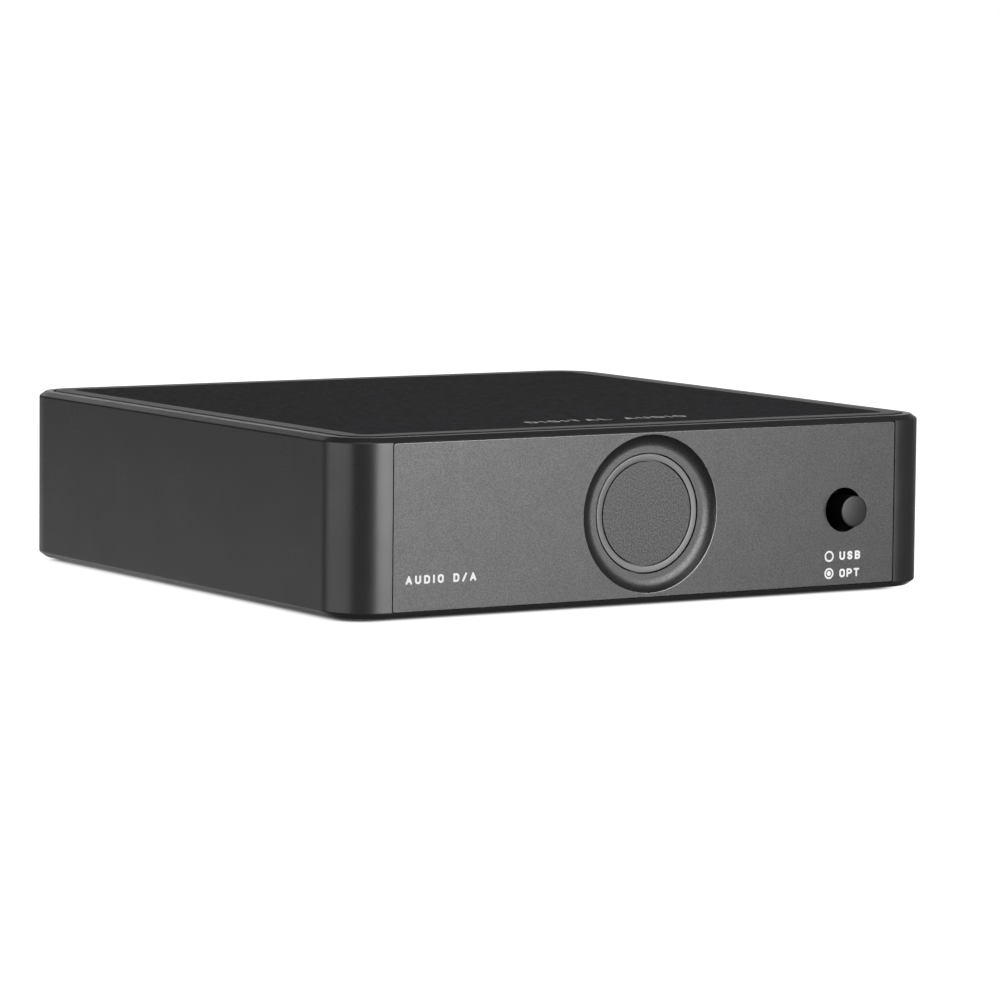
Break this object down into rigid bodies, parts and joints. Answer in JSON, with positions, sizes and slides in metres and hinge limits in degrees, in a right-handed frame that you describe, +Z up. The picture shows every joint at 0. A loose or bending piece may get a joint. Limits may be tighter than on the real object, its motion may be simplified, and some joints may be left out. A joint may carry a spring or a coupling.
{
  "type": "desktop digital-to-analogue converter",
  "caption": "Low square metal desktop audio converter with round corners, a dished front with a round blank, a latching input button, and digital and phono sockets behind.",
  "frame": {"origin": "under the middle of the whole object's bounding box, on the surface that the feet stand on", "axes": "+Z up; the front panel faces -Y and the sockets +Y; +X is the right-hand side seen from the front"},
  "size_m": [0.1396, 0.1492, 0.0365],
  "materials": {
    "case_paint": "satin dark grey paint on aluminium",
    "cover_paint": "fine-textured black paint with a smooth border",
    "front_metal": "bead-blasted mid-grey metallic",
    "dial_metal": "satin grey",
    "inlay_metal": "coarse-grained mid-grey metallic",
    "button_metal": "satin dark grey",
    "black_plastic": "moulded black",
    "red_plastic": "moulded red",
    "white_plastic": "moulded white",
    "socket_metal": "bright nickel plate",
    "gold_plate": "gold plate",
    "steel": "zinc-plated",
    "rubber": "matte",
    "board_green": "green solder mask",
    "chip_black": "moulded epoxy",
    "capacitor_sleeve": "shrunk sleeve",
    "film_yellow": "dipped film capacitor box",
    "clock_metal": "plated can"
  },
  "bodies": {
    "case": {"body_shell": "case_paint", "top_cover": "cover_paint", "front_panel": "front_metal", "rear_panel": "case_paint", "dial_blank": "dial_metal", "dial_inlay": "inlay_metal", "foot_front_left": "rubber", "foot_front_right": "rubber", "foot_rear_left": "rubber", "foot_rear_right": "rubber", "case_screw_front_left": "steel", "case_screw_front_right": "steel", "case_screw_rear_left": "steel", "case_screw_rear_right": "steel", "board_screw_front_left": "steel", "board_screw_front_right": "steel", "board_screw_rear_left": "steel", "board_screw_rear_right": "steel", "front_panel_screw_left": "steel", "rear_panel_screw_left": "black_plastic", "front_panel_screw_right": "steel", "rear_panel_screw_right": "black_plastic", "main_board": "board_green", "switch_body": "black_plastic", "switch_spring": "steel", "power_jack": "black_plastic", "power_jack_pin": "socket_metal", "usb_shell": "socket_metal", "usb_tongue": "black_plastic", "optical_receiver": "black_plastic", "phono_housing": "black_plastic", "phono_barrel_left": "socket_metal", "phono_collar_left": "white_plastic", "phono_core_left": "white_plastic", "phono_contact_left": "gold_plate", "phono_barrel_right": "socket_metal", "phono_collar_right": "red_plastic", "phono_core_right": "red_plastic", "phono_contact_right": "gold_plate", "supply_capacitor_1": "capacitor_sleeve", "supply_capacitor_2": "capacitor_sleeve", "supply_capacitor_3": "capacitor_sleeve", "supply_capacitor_4": "capacitor_sleeve", "voltage_regulator_1": "chip_black", "voltage_regulator_2": "chip_black", "supply_choke": "chip_black", "usb_bridge_chip": "chip_black", "optical_decoder_chip": "chip_black", "converter_chip": "chip_black", "master_clock": "clock_metal", "output_relay": "white_plastic", "output_amplifier_left": "chip_black", "filter_capacitor_left": "film_yellow", "output_amplifier_right": "chip_black", "filter_capacitor_right": "film_yellow"},
    "input_button": {"input_button": "button_metal", "switch_plunger": "black_plastic"},
    "optical_shutter": {"optical_shutter": "black_plastic"}
  },
  "joints": [
    {"name": "button_push", "type": "slide", "parent": "case", "child": "input_button", "axis": [0, 1, 0], "range_m": [0, 0.0025], "stiffness_N_per_m": 500, "springref_m": -0.002, "deforming": ["switch_spring"]},
    {"name": "shutter_swing", "type": "hinge", "parent": "case", "child": "optical_shutter", "pos_m": [0.005, 0.06595, 0.02005], "axis": [-1, 0, 0], "range_deg": [0, 80], "stiffness_Nm_per_rad": 0.00002, "springref_deg": -28.65}
  ]
}
